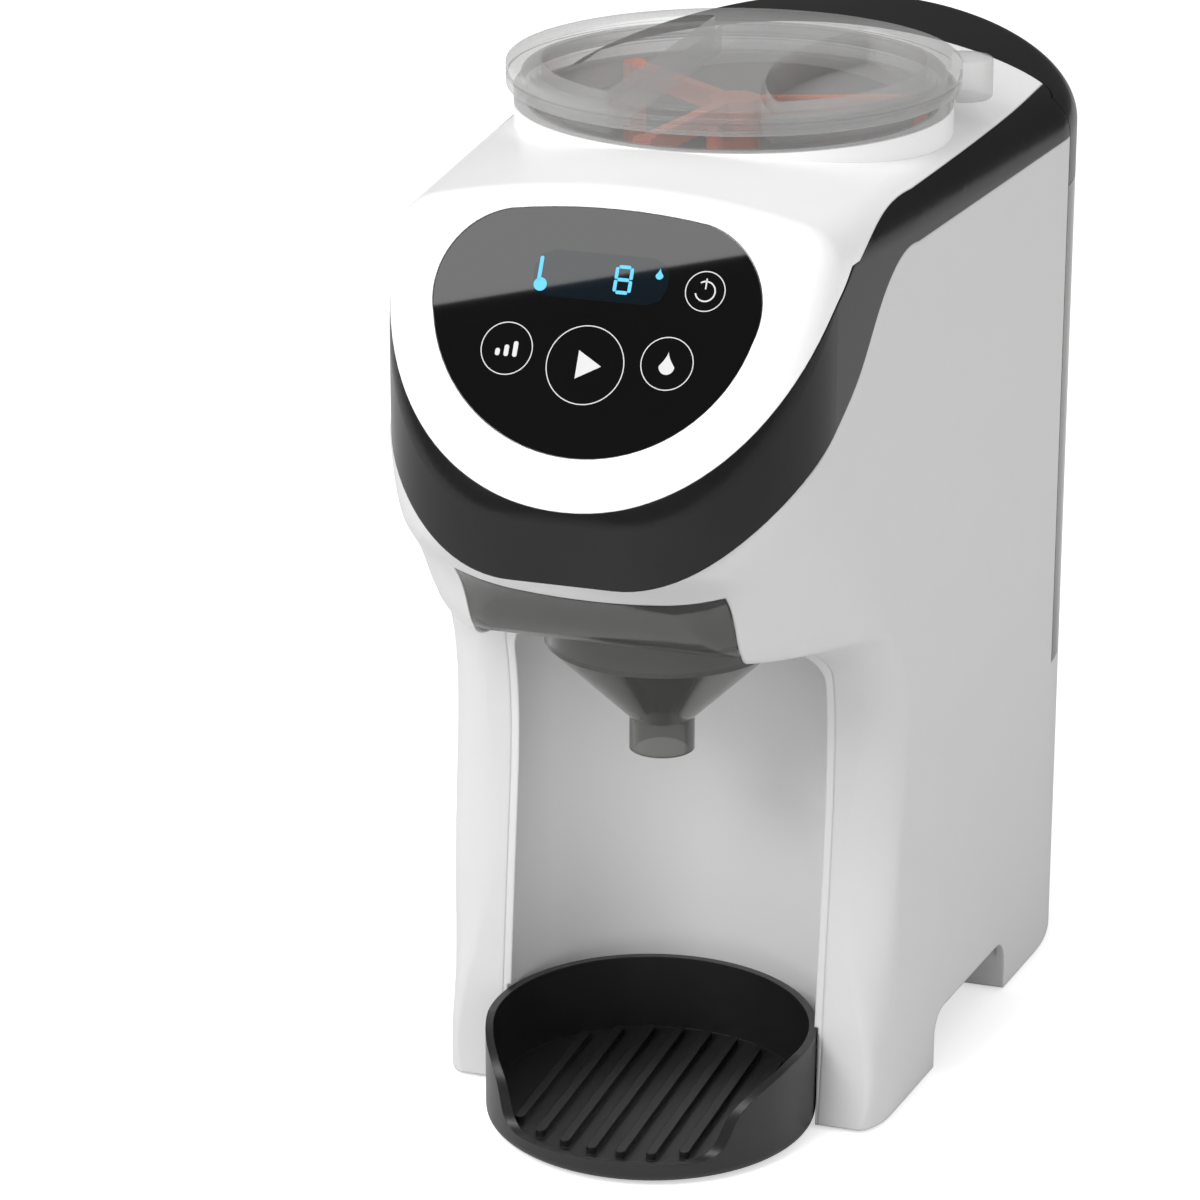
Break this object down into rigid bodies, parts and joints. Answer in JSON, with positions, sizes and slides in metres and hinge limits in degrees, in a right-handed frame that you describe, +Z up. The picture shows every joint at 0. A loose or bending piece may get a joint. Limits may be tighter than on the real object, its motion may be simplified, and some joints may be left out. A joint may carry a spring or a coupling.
{
  "type": "baby formula maker",
  "caption": "Countertop machine that stirs powder from a lidded round hopper into a funnel, adds warm water from a rear tank and fills a vessel standing on a ribbed drip tray.",
  "frame": {"origin": "worktop level under the centre of the machine's bounding box", "axes": "+Z up, front of the machine faces -Y, +X is the machine's left-to-right as seen from the front"},
  "size_m": [0.168, 0.3267, 0.311],
  "materials": {
    "casing": "satin",
    "cover": "gloss",
    "trim": "gloss",
    "panel": "gloss",
    "display": "gloss",
    "board": "satin",
    "clear": "gloss",
    "smoke": "gloss",
    "stirrer": "satin",
    "gear": "matte",
    "steel": "brushed",
    "inner": "matte",
    "tray": "satin",
    "rubber": "matte",
    "hose": "satin"
  },
  "bodies": {
    "casing": {"body_shell": "casing", "bay_liner": "casing", "top_cover": "cover", "black_trim": "trim", "panel_glass": "panel", "display_module": "display", "control_board": "board", "gear_motor": "steel", "drive_deck": "inner", "powder_chute": "inner", "funnel_rails": "inner", "tank_port": "inner", "base_plate": "inner", "foot_front_right": "rubber", "foot_front_left": "rubber", "foot_rear_right": "rubber", "foot_rear_left": "rubber", "heater": "steel", "pump": "inner", "power_board": "board", "inlet_hose": "hose", "link_hose": "hose", "spout_hose": "hose", "hose_clip": "inner", "cord_gland": "rubber", "base_screws": "steel", "deck_screws": "steel"},
    "hopper": {"powder_container": "clear"},
    "hopper_lid": {"container_lid": "clear"},
    "mixer": {"stirrer": "stirrer"},
    "main_gear": {"drive_gear": "gear"},
    "pinion": {"motor_pinion": "steel"},
    "funnel_drawer": {"funnel": "smoke"},
    "tray": {"drip_tray": "tray"},
    "tank": {"water_tank": "smoke"},
    "tank_cover": {"tank_lid": "trim"},
    "valve": {"tank_valve": "rubber", "valve_spring": "steel"}
  },
  "joints": [
    {"name": "container_lift", "type": "slide", "parent": "casing", "child": "hopper", "axis": [0, 0, 1], "range_m": [0, 0.09]},
    {"name": "lid_lift", "type": "slide", "parent": "hopper", "child": "hopper_lid", "axis": [0, 0, 1], "range_m": [0, 0.06]},
    {"name": "gear_turn", "type": "hinge", "parent": "casing", "child": "main_gear", "pos_m": [0, -0.005, 0.222], "axis": [0, 0, 1], "continuous": true},
    {"name": "stirrer_turn", "type": "hinge", "parent": "hopper", "child": "mixer", "pos_m": [0, -0.005, 0.25], "axis": [0, 0, 1], "continuous": true},
    {"name": "pinion_turn", "type": "hinge", "parent": "casing", "child": "pinion", "pos_m": [0, 0.034, 0.222], "axis": [0, 0, 1], "continuous": true},
    {"name": "funnel_pull", "type": "slide", "parent": "casing", "child": "funnel_drawer", "axis": [0, -1, 0], "range_m": [0, 0.11]},
    {"name": "tray_pull", "type": "slide", "parent": "casing", "child": "tray", "axis": [0, -1, 0], "range_m": [0, 0.08]},
    {"name": "tank_lift", "type": "slide", "parent": "casing", "child": "tank", "axis": [0, 0, 1], "range_m": [0, 0.19]},
    {"name": "tank_lid_lift", "type": "slide", "parent": "tank", "child": "tank_cover", "axis": [0, 0, 1], "range_m": [0, 0.06]},
    {"name": "valve_travel", "type": "slide", "parent": "tank", "child": "valve", "axis": [0, 0, 1], "range_m": [0, 0.0025], "stiffness_N_per_m": 200, "springref_m": -0.002, "deforming": ["valve_spring"]}
  ],
  "couplings": [
    {"joint": "stirrer_turn", "follows": "gear_turn", "ratio": 1},
    {"joint": "pinion_turn", "follows": "gear_turn", "ratio": -3.3333}
  ]
}
